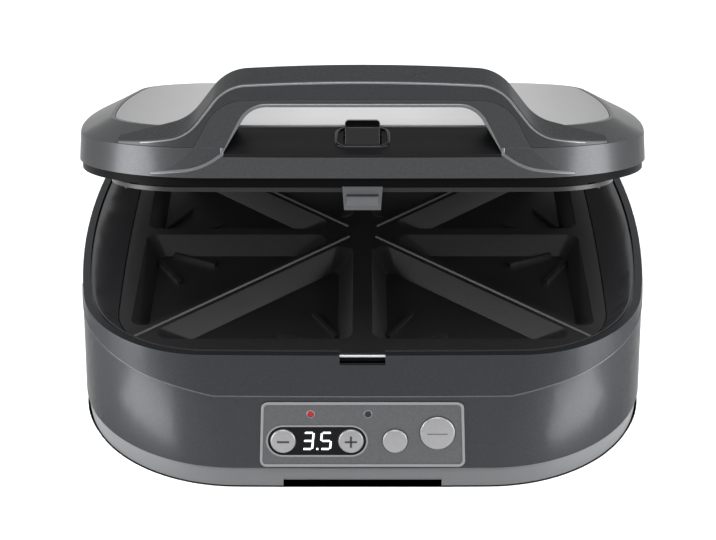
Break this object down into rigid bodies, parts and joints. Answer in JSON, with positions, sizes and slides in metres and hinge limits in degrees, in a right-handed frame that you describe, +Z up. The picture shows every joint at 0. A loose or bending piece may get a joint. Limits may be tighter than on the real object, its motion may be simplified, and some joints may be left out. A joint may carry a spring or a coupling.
{
  "type": "sandwich maker",
  "caption": "Countertop toasted-sandwich maker with a hinged, arched-handle lid, latch, plates with triangular pockets and a push-button panel.",
  "frame": {"origin": "on the table, under the middle of the object's overall length and width", "axes": "+Z up; +Y from the user's side to the hinge; +X to the user's right"},
  "size_m": [0.3552, 0.3458, 0.2382],
  "materials": {
    "painted_grey": "metallic grey lacquer over a moulded housing",
    "light_grey_plastic": "satin grey moulding",
    "dark_plastic": "satin near-black moulding",
    "nonstick_casting": "die-cast aluminium with a dark nonstick coat",
    "steel": "plain steel",
    "aluminium_sheet": "satin sheet",
    "sensor_metal": "nickel-plated brass",
    "circuit_board": "green laminate",
    "electronics_plastic": "moulded component bodies",
    "rubber": "matt black rubber",
    "silver_trim": "bright satin trim",
    "display_black": "gloss black display window",
    "red_lens": "clear red lamp lens",
    "dark_lens": "dark lamp lens",
    "silver_button": "silver-lacquered caps",
    "hook_steel": "dark coated steel",
    "latch_black": "gloss black cap"
  },
  "bodies": {
    "base": {"base_housing": "painted_grey", "base_surround": "dark_plastic", "base_tray": "light_grey_plastic", "rubber_feet": "rubber", "tray_screws": "steel", "strike_bar": "steel", "hinge_pin_left": "steel", "hinge_pin_right": "steel", "lower_plate": "nonstick_casting", "lower_plate_screws": "steel", "lower_heating_element": "steel", "lower_reflector": "aluminium_sheet", "lower_temperature_sensor": "sensor_metal", "lower_thermal_fuse": "sensor_metal", "power_board": "circuit_board", "relay": "electronics_plastic", "transformer": "electronics_plastic", "terminal_block": "electronics_plastic", "cord_gland": "rubber", "control_panel": "painted_grey", "panel_bezel": "silver_trim", "display_ring": "silver_trim", "display_window": "display_black", "display_module": "electronics_plastic", "control_board": "circuit_board", "tact_switches": "electronics_plastic", "power_lamp": "red_lens", "ready_lamp": "dark_lens"},
    "lid": {"lid_shell": "painted_grey", "lid_top_panel": "aluminium_sheet", "lid_underframe": "dark_plastic", "lid_screws": "steel", "handle": "painted_grey", "handle_underside": "dark_plastic", "latch_cover": "dark_plastic", "latch_pin": "steel", "latch_spring": "steel", "upper_plate": "nonstick_casting", "upper_plate_screws": "steel", "upper_heating_element": "steel", "upper_reflector": "aluminium_sheet", "upper_temperature_sensor": "sensor_metal", "upper_thermal_fuse": "sensor_metal"},
    "latch": {"latch_hook": "hook_steel", "latch_button": "latch_black"},
    "minus_key": {"minus_button": "silver_button"},
    "plus_key": {"plus_button": "silver_button"},
    "extra_key": {"extra_button": "silver_button"},
    "start_key": {"start_button": "silver_button"}
  },
  "joints": [
    {"name": "lid_hinge", "type": "hinge", "parent": "base", "child": "lid", "pos_m": [0, 0.165, 0.085], "axis": [-1, 0, 0], "range_deg": [-18.7, 78]},
    {"name": "latch_pivot", "type": "hinge", "parent": "lid", "child": "latch", "pos_m": [0, -0.11721, 0.19319], "axis": [1, 0, 0], "range_deg": [0, 8], "stiffness_Nm_per_rad": 0.12, "springref_deg": -14.32},
    {"name": "minus_press", "type": "slide", "parent": "base", "child": "minus_key", "axis": [0, 0.9749, -0.2228], "range_m": [0, 0.001], "stiffness_N_per_m": 600, "springref_m": -0.0008},
    {"name": "plus_press", "type": "slide", "parent": "base", "child": "plus_key", "axis": [0, 0.9749, -0.2228], "range_m": [0, 0.001], "stiffness_N_per_m": 600, "springref_m": -0.0008},
    {"name": "extra_press", "type": "slide", "parent": "base", "child": "extra_key", "axis": [0, 0.9749, -0.2228], "range_m": [0, 0.001], "stiffness_N_per_m": 600, "springref_m": -0.0008},
    {"name": "start_press", "type": "slide", "parent": "base", "child": "start_key", "axis": [0, 0.9749, -0.2228], "range_m": [0, 0.001], "stiffness_N_per_m": 600, "springref_m": -0.0008}
  ]
}
